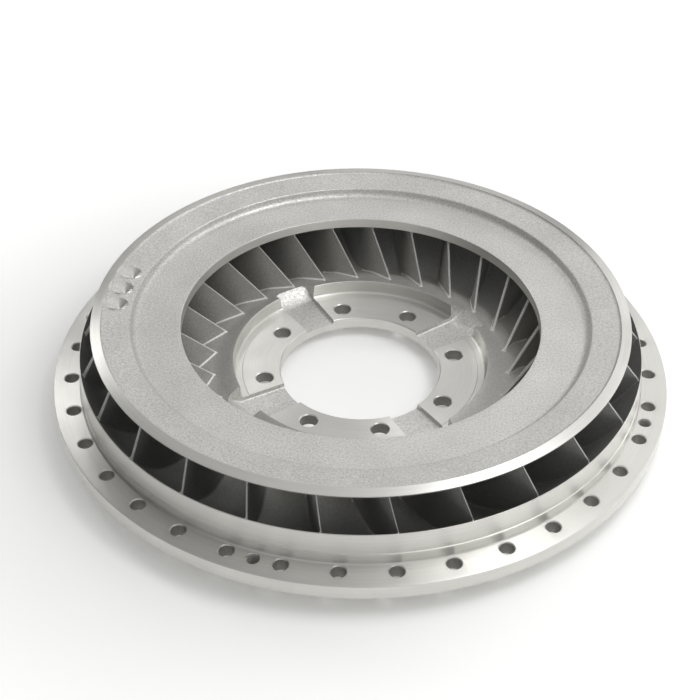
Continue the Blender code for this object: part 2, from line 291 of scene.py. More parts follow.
class StudioSettings(bpy.types.PropertyGroup):
    camera_place: FloatVectorProperty(
        name="Camera", description="Where the camera stands", size=3, subtype="TRANSLATION",
        unit="LENGTH", default=(-0.17063, -0.83003, 0.70778))
    camera_target: FloatVectorProperty(
        name="Target", description="The point that the camera looks at", size=3,
        subtype="TRANSLATION", unit="LENGTH", default=(0.00038, 0.04309, 0.0))
    camera_roll: FloatProperty(
        name="Roll", description="Turn of the camera about its own axis", subtype="ANGLE",
        default=math.radians(0.277))
    lens: FloatProperty(
        name="Lens", description="Focal length on a 36 mm sensor", subtype="DISTANCE_CAMERA",
        default=72.94, min=20.0, max=200.0)
    sky: FloatProperty(
        name="Room light", description="Strength of the light from the walls, ceiling and window",
        default=0.5, min=0.0, max=4.0)


def smooth_height(stations, radius):
    """Height at a radius on the curve through (radius, height, slope) stations."""
    for (r0, h0, m0), (r1, h1, m1) in zip(stations, stations[1:]):
        if radius <= r1 or r1 == stations[-1][0]:
            break
    width = r1 - r0
    t = (radius - r0) / width
    rise = (h1 - h0) * (3.0 * t ** 2 - 2.0 * t ** 3)
    return h0 + rise + width * (m0 * (t - 2.0 * t ** 2 + t ** 3) + m1 * (t ** 3 - t ** 2))


def curve_corners(stations, start, end, count, finish):
    """Corners of one finish, without fillets, along a curve through stations."""
    radii = np.linspace(start, end, count)
    return [(float(r), smooth_height(stations, float(r)), 0.0, finish) for r in radii]


def rounded_outline(corners, steps=5):
    """Points of a closed half section, and the finish of the edge that starts at each point."""
    points = []
    finishes = []
    count = len(corners)
    for i, (radius, height, fillet, finish) in enumerate(corners):
        here = Vector((radius, height))
        if fillet <= 0.0:
            points.append(here)
            finishes.append(finish)
            continue
        before = (Vector(corners[i - 1][:2]) - here).normalized()
        after = (Vector(corners[(i + 1) % count][:2]) - here).normalized()
        half = before.angle(after) / 2.0
        reach = fillet / math.tan(half)
        centre = here + (before + after).normalized() * (fillet / math.sin(half))
        start = here + before * reach - centre
        end = here + after * reach - centre
        for k in range(steps + 1):
            points.append(centre + start.slerp(end, k / steps).normalized() * fillet)
            finishes.append(finish)
    return points, finishes


def grid_mesh(name, rings):
    """Mesh through rings of equal length, each closed on itself, the last joined to the first."""
    rows = np.array(rings)
    count, size = rows.shape[:2]
    here = np.arange(count * size).reshape(count, size)
    there = np.roll(here, -1, axis=0)
    faces = np.stack([here, np.roll(here, -1, axis=1), np.roll(there, -1, axis=1), there], axis=-1)
    mesh = bpy.data.meshes.new(name)
    mesh.from_pydata((rows.reshape(-1, 3) * MM).tolist(), [], faces.reshape(-1, 4).tolist())
    return mesh


def finish_mesh(mesh, angle=30.0):
    """Smooth shading, with edges sharper than the angle, in degrees, left crisp."""
    mesh.validate()
    mesh.shade_smooth()
    mesh.set_sharp_from_angle(angle=math.radians(angle))


def turned_mesh(name, corners, materials, segments):
    """Turned ring from its closed half section of (radius, height, fillet, finish) corners."""
    points, finishes = rounded_outline(corners)
    radius, height = np.array(points).T
    area = np.sum(radius * np.roll(height, -1) - np.roll(radius, -1) * height)
    angles = np.linspace(0.0, 2.0 * math.pi, segments, endpoint=False)
    if area >= 0.0:
        angles = -angles  # turns the other way, so that the faces look outward
    rings = [np.stack([radius * math.cos(a), radius * math.sin(a), height], axis=1) for a in angles]
    mesh = grid_mesh(name, rings)
    for finish in materials:
        mesh.materials.append(finish)
    slots = np.tile(np.array([materials.index(finish) for finish in finishes], dtype=np.int32),
                    segments)
    mesh.polygons.foreach_set("material_index", slots)
    return mesh


def add_piece(name, mesh, *nodes):
    """Object for a detailed piece that rides on the part and stands for its plain solids."""
    piece = bpy.data.objects.new(name, mesh)
    bpy.context.scene.collection.objects.link(piece)
    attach(piece, BODY)
    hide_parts(*nodes)


def carved(name, mesh, cutters):
    """Mesh left after the cutters, meshes that don't touch each other, are taken out of it."""
    body = bpy.data.objects.new(name + "_blank", mesh)
    bpy.context.scene.collection.objects.link(body)
    tools = []
    for k, cutter in enumerate(cutters):
        tool = bpy.data.objects.new("{}_tool_{}".format(name, k), cutter)
        bpy.context.scene.collection.objects.link(tool)
        modifier = body.modifiers.new(tool.name, "BOOLEAN")
        modifier.operation = "DIFFERENCE"
        modifier.solver = "EXACT"
        modifier.material_mode = "TRANSFER"
        modifier.object = tool
        tools.append(tool)
    bpy.context.view_layer.update()
    graph = bpy.context.evaluated_depsgraph_get()
    result = bpy.data.meshes.new_from_object(body.evaluated_get(graph))
    result.name = name
    for item in (body, *tools):
        bpy.data.objects.remove(item, do_unlink=True)
    return result


def joined_mesh(name, parts, material, wall=None):
    """One mesh from parts that are stacks of rings with capped ends. The middle of each part's
    stack takes the wall's material where one is given."""
    verts = []
    faces = []
    slots = []
    for rings in parts:
        rows = np.array(rings)
        count, size = rows.shape[:2]
        base = len(verts)
        verts.extend((rows.reshape(-1, 3) * MM).tolist())
        for i in range(count - 1):
            for j in range(size):
                k = (j + 1) % size
                faces.append((base + i * size + j, base + i * size + k,
                              base + (i + 1) * size + k, base + (i + 1) * size + j))
                slots.append(1 if wall and 0 < i < count - 2 else 0)
        faces.append(tuple(base + j for j in reversed(range(size))))
        faces.append(tuple(base + (count - 1) * size + j for j in range(size)))
        slots.extend((0, 0))
    mesh = bpy.data.meshes.new(name)
    mesh.from_pydata(verts, [], faces)
    mesh.materials.append(material)
    if wall:
        mesh.materials.append(wall)
        mesh.polygons.foreach_set("material_index", slots)
    return mesh


def round_rings(x, y, outline, sides):
    """Rings of a round cutter standing at x, y from (radius, height) points, low to high."""
    angles = np.linspace(0.0, 2.0 * math.pi, sides, endpoint=False)
    return [np.stack([x + r * np.cos(angles), y + r * np.sin(angles), np.full(sides, h)], axis=1)
            for r, h in outline]


def polar(radius, degrees):
    """Plan position at a radius and an angle from +X."""
    angle = math.radians(degrees)
    return radius * math.cos(angle), radius * math.sin(angle)


def hole_outline(radius, chamfer, low, high):
    """Outline of a hole cutter with a chamfer at both faces."""
    wide = radius + chamfer + CUT_OVERRUN
    return ((wide, low - CUT_OVERRUN), (radius, low + chamfer), (radius, high - chamfer),
            (wide, high + CUT_OVERRUN))


def thread_rings(x, y, crest, root, pitch, low, high, sides=36, rows_per_turn=8.0):
    """Rings of a screw-shaped cutter whose radius follows the thread's helix."""
    angles = np.linspace(0.0, 2.0 * math.pi, sides, endpoint=False)
    rows = int((high - low) / pitch * rows_per_turn)
    rings = []
    for h in np.linspace(low, high, rows):
        phase = (h / pitch - angles / (2.0 * math.pi)) % 1.0
        radius = root + (crest - root) * (1.0 - np.abs(2.0 * phase - 1.0))
        rings.append(np.stack([x + radius * np.cos(angles), y + radius * np.sin(angles),
                               np.full(sides, h)], axis=1))
    return rings


def add_node(tree, kind, values=None, links=None, **settings):
    """Adds a node, sets its attributes and input values, and links inputs to given outputs."""
    made = tree.nodes.new(kind)
    for name, value in settings.items():
        setattr(made, name, value)
    for key, value in (values or {}).items():
        made.inputs[key].default_value = value
    for key, output in (links or {}).items():
        tree.links.new(output, made.inputs[key])
    return made


def new_material(name, metallic, roughness):
    """Material, node tree, shader and the part's own coordinates. Where the material is there
    already, the last three are None."""
    made = bpy.data.materials.get(name)
    if made:
        return made, None, None, None
    made = bpy.data.materials.new(name)
    made.use_nodes = True
    tree = made.node_tree
    tree.nodes.clear()
    shader = add_node(tree, "ShaderNodeBsdfPrincipled", {"Metallic": metallic,
                      "Roughness": roughness})
    add_node(tree, "ShaderNodeOutputMaterial", links={"Surface": shader.outputs[0]})
    place = add_node(tree, "ShaderNodeTexCoord").outputs["Object"]
    return made, tree, shader, place


def sand_cast_aluminium():
    """Aluminium poured in a sand mould and shot blasted: pale, even and matt, with a grain that
    sparkles softly. The sand's grain is about 0.5 mm and is drawn at 1.4 mm so that it shows."""
    made, tree, shader, place = new_material("sand_cast_aluminium", 0.7, 0.5)
    if tree is None:
        return made
    colours = bpy.context.scene.impeller_colours
    grain = add_node(tree, "ShaderNodeTexNoise", {"Scale": 1.0 / (CAST_GRAIN * MM), "Detail": 3.0,
                     "Roughness": 0.7}, {"Vector": place})
    pits = add_node(tree, "ShaderNodeTexVoronoi", {"Scale": 1.0 / (CAST_PITS * MM)},
                    {"Vector": place})
    patch = add_node(tree, "ShaderNodeTexNoise", {"Scale": 1.0 / (CAST_PATCHES * MM),
                     "Detail": 2.0}, {"Vector": place})
    tone = add_node(tree, "ShaderNodeMapRange", {**NOISE_RANGE, "To Min": 0.72, "To Max": 1.18},
                    {"Value": grain.outputs["Fac"]})
    wide = add_node(tree, "ShaderNodeMapRange", {**NOISE_RANGE, "To Min": 0.94, "To Max": 1.05},
                    {"Value": patch.outputs["Fac"]})
    both = add_node(tree, "ShaderNodeMath", links={0: tone.outputs[0], 1: wide.outputs[0]},
                    operation="MULTIPLY")
    colour = add_node(tree, "ShaderNodeVectorMath", {0: srgb(colours.cast)[:3]},
                      {3: both.outputs[0]}, operation="SCALE")
    tree.links.new(colour.outputs[0], shader.inputs["Base Color"])
    dull = add_node(tree, "ShaderNodeMapRange", {**NOISE_RANGE, "To Min": 0.58, "To Max": 0.34},
                    {"Value": grain.outputs["Fac"]})
    tree.links.new(dull.outputs[0], shader.inputs["Roughness"])
    relief = add_node(tree, "ShaderNodeMath", {1: 0.35}, {0: pits.outputs["Distance"],
                      2: grain.outputs["Fac"]}, operation="MULTIPLY_ADD")
    bump = add_node(tree, "ShaderNodeBump", {"Strength": 0.7, "Distance": 0.25 * MM},
                    {"Height": relief.outputs[0]})
    tree.links.new(bump.outputs[0], shader.inputs["Normal"])
    return made


def turned_aluminium():
    """Aluminium turned on a lathe: bright satin, with fine rings round the axis that draw each
    light out into a streak across them. The tool's 0.2 mm feed is drawn at 0.8 mm."""
    made, tree, shader, place = new_material("turned_aluminium", 1.0, 0.3)
    if tree is None:
        return made
    colours = bpy.context.scene.impeller_colours
    parts = add_node(tree, "ShaderNodeSeparateXYZ", links={0: place})
    flat = add_node(tree, "ShaderNodeCombineXYZ", links={0: parts.outputs[0],
                    1: parts.outputs[1]})
    radius = add_node(tree, "ShaderNodeVectorMath", links={0: flat.outputs[0]}, operation="LENGTH")
    around = add_node(tree, "ShaderNodeVectorMath", links={0: flat.outputs[0]},
                      operation="NORMALIZE")
    across = add_node(tree, "ShaderNodeMath", links={0: radius.outputs["Value"],
                      1: parts.outputs[2]}, operation="ADD")
    spread = add_node(tree, "ShaderNodeMath", {1: 1.0 / (LATHE_FEED * MM)}, {0: across.outputs[0]},
                      operation="MULTIPLY")
    along = add_node(tree, "ShaderNodeVectorMath", {3: 1.6}, {0: around.outputs[0]},
                     operation="SCALE")
    lift = add_node(tree, "ShaderNodeCombineXYZ", links={2: spread.outputs[0]})
    rings = add_node(tree, "ShaderNodeVectorMath", links={0: along.outputs[0], 1: lift.outputs[0]},
                     operation="ADD")
    marks = add_node(tree, "ShaderNodeTexNoise", {"Scale": 1.0, "Detail": 4.0, "Roughness": 0.7},
                     {"Vector": rings.outputs[0]})
    patch = add_node(tree, "ShaderNodeTexNoise", {"Scale": 1.0 / (LATHE_PATCHES * MM),
                     "Detail": 3.0}, {"Vector": place})
    tone = add_node(tree, "ShaderNodeMapRange", {**NOISE_RANGE, "To Min": 0.93, "To Max": 1.04},
                    {"Value": marks.outputs["Fac"]})
    colour = add_node(tree, "ShaderNodeVectorMath", {0: srgb(colours.turned)[:3]},
                      {3: tone.outputs[0]}, operation="SCALE")
    tree.links.new(colour.outputs[0], shader.inputs["Base Color"])
    mixed = add_node(tree, "ShaderNodeMath", links={0: marks.outputs["Fac"],
                     1: patch.outputs["Fac"]}, operation="ADD")
    dull = add_node(tree, "ShaderNodeMapRange", {"From Min": 0.7, "From Max": 1.3, "To Min": 0.32,
                    "To Max": 0.42}, {"Value": mixed.outputs[0]})
    tree.links.new(dull.outputs[0], shader.inputs["Roughness"])
    bump = add_node(tree, "ShaderNodeBump", {"Strength": 0.25, "Distance": 0.02 * MM},
                    {"Height": marks.outputs["Fac"]})
    tree.links.new(bump.outputs[0], shader.inputs["Normal"])
    grooves = add_node(tree, "ShaderNodeTangent", direction_type="RADIAL", axis="Z")
    tree.links.new(grooves.outputs[0], shader.inputs["Tangent"])
    shader.inputs["Anisotropic"].default_value = 0.85
    shader.inputs["Anisotropic Rotation"].default_value = 0.25
    return made


def drilled_aluminium(name, hex_colour, metallic, roughness):
    """Aluminium left by a drill: even and satin, duller down a hole than in an open drilling, and
    darker down a hole as painted shade. The drill's marks are drawn at 1.2 mm."""
    made, tree, shader, place = new_material(name, metallic, roughness)
    if tree is None:
        return made
    marks = add_node(tree, "ShaderNodeTexNoise", {"Scale": 1.0 / (DRILL_MARKS * MM),
                     "Detail": 2.0}, {"Vector": place})
    tone = add_node(tree, "ShaderNodeMapRange", {**NOISE_RANGE, "To Min": 0.85, "To Max": 1.1},
                    {"Value": marks.outputs["Fac"]})
    colour = add_node(tree, "ShaderNodeVectorMath", {0: srgb(hex_colour)[:3]}, {3: tone.outputs[0]},
                      operation="SCALE")
    tree.links.new(colour.outputs[0], shader.inputs["Base Color"])
    bump = add_node(tree, "ShaderNodeBump", {"Strength": 0.1, "Distance": 0.05 * MM},
                    {"Height": marks.outputs["Fac"]})
    tree.links.new(bump.outputs[0], shader.inputs["Normal"])
    return made


def drilling_finish():
    """Bright cut face of an open conical drilling."""
    colours = bpy.context.scene.impeller_colours
    return drilled_aluminium("drilled_aluminium", colours.turned, 1.0, 0.3)


def shaded_hole_finish():
    """Wall of a deep hole, duller than the turned faces and darker with painted shade."""
    colours = bpy.context.scene.impeller_colours
    return drilled_aluminium("drilled_hole_shaded_aluminium", colours.hole, 0.35, 0.5)


def core_cast_aluminium():
    """Aluminium cast against a sand core: blasted pale and speckled where the eye leaves it open,
    and dull and darker with depth, where the shot didn't reach; the darkening with depth is also
    painted shade deep in the passages. The grain is drawn at 1.3 mm."""
    made, tree, shader, place = new_material("core_cast_aluminium", 0.4, 0.6)
    if tree is None:
        return made
    colours = bpy.context.scene.impeller_colours
    grain = add_node(tree, "ShaderNodeTexNoise", {"Scale": 1.0 / (CORE_GRAIN * MM), "Detail": 3.0,
                     "Roughness": 0.7}, {"Vector": place})
    tone = add_node(tree, "ShaderNodeMapRange", {**NOISE_RANGE, "To Min": 0.8, "To Max": 1.18},
                    {"Value": grain.outputs["Fac"]})
    flat = add_node(tree, "ShaderNodeVectorMath", {1: (1.0, 1.0, 0.0)}, {0: place},
                    operation="MULTIPLY")
    radius = add_node(tree, "ShaderNodeVectorMath", links={0: flat.outputs[0]}, operation="LENGTH")
    # Colour darkens with radius from the mouth colour to the deep one: partly the unblasted finish,
    # partly painted shade.
    depth = add_node(tree, "ShaderNodeMapRange", {"From Min": SHOT_AND_SHADE_REACH[0] * MM,
                     "From Max": SHOT_AND_SHADE_REACH[1] * MM}, {"Value": radius.outputs["Value"]},
                     interpolation_type="SMOOTHSTEP")
    shade = add_node(tree, "ShaderNodeMix", {6: srgb(colours.passage_mouth),
                     7: srgb(colours.passage_dull_and_shade)}, {0: depth.outputs[0]}, data_type="RGBA")
    colour = add_node(tree, "ShaderNodeVectorMath", links={0: shade.outputs[2],
                      3: tone.outputs[0]}, operation="SCALE")
    tree.links.new(colour.outputs[0], shader.inputs["Base Color"])
    bump = add_node(tree, "ShaderNodeBump", {"Strength": 0.4, "Distance": 0.15 * MM},
                    {"Height": grain.outputs["Fac"]})
    tree.links.new(bump.outputs[0], shader.inputs["Normal"])
    return made


def edge_highlight_aluminium():
    """Pale, even aluminium for the vanes' edges and root fillets near the eye: the palest cast
    face, painted pale as the highlight that these edges catch. Its marks are drawn at 1.3 mm."""
    made, tree, shader, place = new_material("edge_highlight_aluminium", 0.25, 0.5)
    if tree is None:
        return made
    colours = bpy.context.scene.impeller_colours
    marks = add_node(tree, "ShaderNodeTexNoise", {"Scale": 1.0 / (FILE_MARKS * MM), "Detail": 2.0},
                     {"Vector": place})
    tone = add_node(tree, "ShaderNodeMapRange", {**NOISE_RANGE, "To Min": 0.86, "To Max": 1.06},
                    {"Value": marks.outputs["Fac"]})
    colour = add_node(tree, "ShaderNodeVectorMath", {0: srgb(colours.edge)[:3]},
                      {3: tone.outputs[0]}, operation="SCALE")
    tree.links.new(colour.outputs[0], shader.inputs["Base Color"])
    return made


def matte_floor():
    """White board that glows a little, less under the part, so that it stays bright and takes only
    a soft shadow there."""
    made, tree, shader, place = new_material("matte_floor", 0.0, 0.9)
    if tree is None:
        return made
    colours = bpy.context.scene.impeller_colours
    shader.inputs["Base Color"].default_value = srgb(colours.floor)
    shader.inputs["Emission Color"].default_value = srgb(colours.floor)
    distance = add_node(tree, "ShaderNodeVectorMath", links={0: place}, operation="LENGTH")
    glow = add_node(tree, "ShaderNodeMapRange", GLOW_RANGE, {"Value": distance.outputs["Value"]})
    tree.links.new(glow.outputs[0], shader.inputs["Emission Strength"])
    return made


def notch_half_width(along):
    """Half the width of a cast notch's floor: it widens outward and its far corners are round."""
    half = NOTCH_HALF_WIDTH + (along - BORE_RADIUS) * NOTCH_FLARE
    past = min(max(along - (NOTCH_END - NOTCH_CORNER), 0.0), NOTCH_CORNER)
    return half - NOTCH_CORNER + math.sqrt(NOTCH_CORNER ** 2 - past ** 2)


def notch_floor(along):
    """Height of a cast notch's floor, flat from the bore and then curving up through the crest."""
    share = max(0.0, along - NOTCH_RAMP) / (NOTCH_END - NOTCH_RAMP)
    return NOTCH_FLOOR + (NOTCH_LIP_HEIGHT - NOTCH_FLOOR) * share ** 1.5


def notch_rings(degrees):
    """Rings of a cutter for one cast notch: a trough with drafted sides and round corners."""
    turn = math.radians(degrees)
    rings = []
    for r in NOTCH_STATIONS:
        base = notch_floor(r)
        half = notch_half_width(r)
        section = []
        for a in np.radians(np.linspace(0.0, 90.0, 6)):
            section.append((NOTCH_FILLET * (1.0 - math.cos(a)) - half,
                            base + NOTCH_FILLET * (1.0 - math.sin(a))))
        section += [(-y, z) for y, z in reversed(section)]
        draft = (NOTCH_CUT_TOP - base) * NOTCH_DRAFT
        section.append((half + draft, NOTCH_CUT_TOP))
        section.append((-half - draft, NOTCH_CUT_TOP))
        rings.append([(r * math.cos(turn) - y * math.sin(turn),
                       r * math.sin(turn) + y * math.cos(turn), z) for y, z in section])
    return rings


def build_hub():
    """Hub, counterbore and crest in one piece, as they are cast, with the turned faces bright."""
    sizes = bpy.context.scene.impeller_sizes
    cast, turned, core = sand_cast_aluminium(), turned_aluminium(), core_cast_aluminium()
    corners = [
        (BORE_RADIUS, HUB_UNDERSIDE, 0.8, cast),
        (HUB_OUTER_RADIUS, HUB_UNDERSIDE, 0.0, cast),
        *curve_corners(SHELL_STATIONS, HUB_OUTER_RADIUS, CREST_RADIUS, 14, core),
        (COUNTERBORE_RADIUS + 0.3, COUNTERBORE_TOP, 0.0, turned),
        (COUNTERBORE_RADIUS, COUNTERBORE_TOP - 0.3, 0.0, turned),
        (COUNTERBORE_RADIUS, RELIEF_FACE, 2.2, turned),
        (RELIEF_RADIUS + 0.5, RELIEF_FACE, 0.0, turned),
        (RELIEF_RADIUS, HUB_FACE, 0.0, turned),
        (BORE_RADIUS + 0.6, HUB_FACE, 0.0, turned),
        (BORE_RADIUS, HUB_FACE - 0.6, 0.0, turned),
    ]
    blank = turned_mesh("hub", corners, (cast, turned, core), sizes.turned_segments)
    outline = hole_outline(sizes.hub_hole / 2.0 / MM, sizes.hole_chamfer / MM,
                           HUB_UNDERSIDE, HUB_FACE)
    holes = []
    for k in range(HUB_BOLTS):
        offset = HUB_OFFSET_ANGLE if k in HUB_OFFSET_BOLTS else 0.0
        x, y = polar(HUB_BOLT_CIRCLE, 360.0 * k / HUB_BOLTS + offset)
        holes.append(round_rings(x, y, outline, 48))
    notches = [notch_rings(NOTCH_START + 360.0 * k / NOTCHES) for k in range(NOTCHES)]
    mesh = carved("hub_and_counterbore", blank, (
        joined_mesh("hub_holes", holes, turned, shaded_hole_finish()),
        joined_mesh("hub_notches", notches, cast)))
    finish_mesh(mesh)
    add_piece("hub_and_counterbore", mesh, "hub_flange", "counterbore_rim")


def build_shell():
    """The bowl under the vanes, smooth inside from its core and sand cast outside."""
    sizes = bpy.context.scene.impeller_sizes
    cast, turned, core = sand_cast_aluminium(), turned_aluminium(), core_cast_aluminium()
    corners = [
        (HUB_OUTER_RADIUS, HUB_UNDERSIDE, 0.0, cast),
        (120.0, HUB_UNDERSIDE, 6.0, cast),
        (LAND_INNER_RADIUS, 0.0, 3.0, turned),
        (LAND_OUTER_RADIUS, 0.0, 3.0, cast),
        (182.0, 9.0, 10.0, cast),
        (FLANGE_INNER_RADIUS, FLANGE_UNDERSIDE, 0.0, cast),
        *curve_corners(SHELL_STATIONS, FLANGE_INNER_RADIUS, HUB_OUTER_RADIUS, 60, core),
    ]
    mesh = turned_mesh("shell_bowl", corners, (cast, turned, core), sizes.turned_segments)
    finish_mesh(mesh)
    add_piece("shell_bowl", mesh,
              "shell_inner_wall", "shell_floor", "shell_outer_wall", "shell_shoulder")


def build_flange():
    """Turned flange with 36 chamfered bolt holes and four tapped jacking holes."""
    sizes = bpy.context.scene.impeller_sizes
    turned = turned_aluminium()
    corners = [
        (FLANGE_INNER_RADIUS, FLANGE_UNDERSIDE, 0.0, turned),
        (FLANGE_RADIUS, FLANGE_UNDERSIDE, 0.8, turned),
        (FLANGE_RADIUS, FLANGE_TOP, 0.6, turned),
        (FLANGE_INNER_RADIUS, FLANGE_TOP, 0.0, turned),
    ]
    blank = turned_mesh("flange", corners, (turned,), sizes.turned_segments)
    outline = hole_outline(sizes.flange_hole / 2.0 / MM, sizes.hole_chamfer / MM,
                           FLANGE_UNDERSIDE, FLANGE_TOP)
    holes = []
    for k in range(FLANGE_BOLTS):
        x, y = polar(FLANGE_BOLT_CIRCLE, FLANGE_BOLT_START + 360.0 * k / FLANGE_BOLTS)
        holes.append(round_rings(x, y, outline, 40))
    crest = sizes.tapped_hole / 2.0 / MM
    pitch = sizes.thread_pitch / MM
    mouth = [(crest + MOUTH_CHAMFER + h, FLANGE_TOP + h) for h in MOUTH_HEIGHTS]
    threads = []
    mouths = []
    for k in range(TAPPED_HOLES):
        x, y = polar(FLANGE_BOLT_CIRCLE, TAPPED_START + 360.0 * k / TAPPED_HOLES)
        threads.append(thread_rings(x, y, crest, crest - THREAD_DEPTH * pitch, pitch,
                                    FLANGE_UNDERSIDE - CUT_OVERRUN, FLANGE_TOP + CUT_OVERRUN))
        mouths.append(round_rings(x, y, mouth, 40))
    mesh = carved("bolting_flange_turned", blank, (
        joined_mesh("flange_holes", holes, turned, shaded_hole_finish()),
        joined_mesh("jacking_threads", threads, shaded_hole_finish()),
        joined_mesh("jacking_mouths", mouths, turned)))
    finish_mesh(mesh)
    add_piece("bolting_flange_turned", mesh, "bolting_flange")


def build_band():
    """Turned pilot band that rises from the flange to the sharp lip of the bowl."""
    sizes = bpy.context.scene.impeller_sizes
    turned, core = turned_aluminium(), core_cast_aluminium()
    foot = BAND_FOOT_RADIUS + BAND_FILLET
    step = FLANGE_TOP + BAND_STEP_HEIGHT
    corners = [
        (FLANGE_INNER_RADIUS, FLANGE_TOP - BAND_SEAT, 0.0, turned),
        (foot, FLANGE_TOP - BAND_SEAT, 0.0, turned),
        (foot, FLANGE_TOP + 0.02, 0.0, turned),
        (BAND_FOOT_RADIUS, FLANGE_TOP + BAND_FILLET, 0.8, turned),
        (BAND_FOOT_RADIUS, step, 0.2, turned),
        (BAND_RADIUS, step + 0.5, 0.3, turned),
        (LIP_RADIUS + 0.5, LIP_TOP - 0.5, 0.3, turned),
        *curve_corners(SHELL_STATIONS, LIP_RADIUS, FLANGE_INNER_RADIUS, 26, core),
    ]
    mesh = turned_mesh("outlet_band_turned", corners, (turned, core), sizes.turned_segments)
    finish_mesh(mesh)
    add_piece("outlet_band_turned", mesh, "outlet_band")


def build_core_ring():
    """Core ring over the vanes: two rough zones with a step between, a turned eye and rim, and
    three conical balance drillings."""
    sizes = bpy.context.scene.impeller_sizes
    cast, turned, core = sand_cast_aluminium(), turned_aluminium(), core_cast_aluminium()
    corners = [
        (EYE_RADIUS, EYE_TOP, 0.4, turned),
        (EYE_RADIUS, EYE_UNDERSIDE, 0.0, core),
        *curve_corners(CORE_STATIONS, EYE_RADIUS, RIM_EDGE_RADIUS, 40, core)[1:],
        (RIM_EDGE_RADIUS, RIM_EDGE_TOP, 0.3, turned),
        (BEAD_RADIUS, BEAD_TOP, 0.0, cast),
        (BEAD_FOOT_RADIUS, BEAD_FOOT_HEIGHT, 2.6, cast),
        (STEP_TOP_RADIUS, STEP_TOP_HEIGHT, 1.5, cast),
        (STEP_FOOT_RADIUS, STEP_FOOT_HEIGHT, 5.5, cast),
        (EYE_RADIUS + 5.5, EYE_TOP - 0.2, 0.0, cast),
    ]
    blank = turned_mesh("core_ring", corners, (cast, turned, core), sizes.turned_segments)
    radius = sizes.dimple / 2.0 / MM
    depth = radius / math.tan(math.radians(DRILL_POINT))
    slope = (BEAD_FOOT_HEIGHT - STEP_TOP_HEIGHT) / (BEAD_FOOT_RADIUS - STEP_TOP_RADIUS)
    surface = STEP_TOP_HEIGHT + slope * (DRILLING_CIRCLE - STEP_TOP_RADIUS)
    outline = ((0.05, surface - depth), (2.0 * radius, surface + depth))
    cones = []
    for degrees in DRILLING_ANGLES:
        x, y = polar(DRILLING_CIRCLE, degrees)
        cones.append(joined_mesh("balance_drilling", [round_rings(x, y, outline, 48)],
                                 drilling_finish()))
    mesh = carved("core_ring_cast", blank, cones)
    finish_mesh(mesh)
    add_piece("core_ring_cast", mesh, "core_ring_inner", "core_ring_outer")


def root_sweep(radius):
    """Degrees that the vane's root has turned from its inlet, steep first and then steady."""
    run = radius - ROOT_INLET_RADIUS
    return INLET_HOOK * (1.0 - math.exp(-run / INLET_HOOK_LENGTH)) + SWEEP_RATE * run


def tip_sweep(radius):
    """The vane's edge at the core ring lags its root, most at the inlet."""
    share = (radius - TIP_INLET_RADIUS) / (TIP_OUTLET_RADIUS - TIP_INLET_RADIUS)
    return root_sweep(radius) - TIP_LAG_INLET + (TIP_LAG_INLET - TIP_LAG_OUTLET) * share


def vane_thinning(share):
    """How much of a vane's thickness is gone at a share of its length."""
    inlet = INLET_TAPER * (1.0 - share / INLET_TAPER_END)
    outlet = OUTLET_TAPER * (share - OUTLET_TAPER_START) / (1.0 - OUTLET_TAPER_START)
    return max(0.0, inlet, outlet)


def vane_line(start, inlet, outlet, sweep, shares):
    """Plan points and the normals across them along the middle of one edge of a vane."""
    radii = inlet + (outlet - inlet) * shares
    points = np.array([polar(radius, start + sweep(radius)) for radius in radii])
    along = np.gradient(points, axis=0)
    along /= np.linalg.norm(along, axis=1)[:, None]
    return points, np.stack([-along[:, 1], along[:, 0]], axis=1)


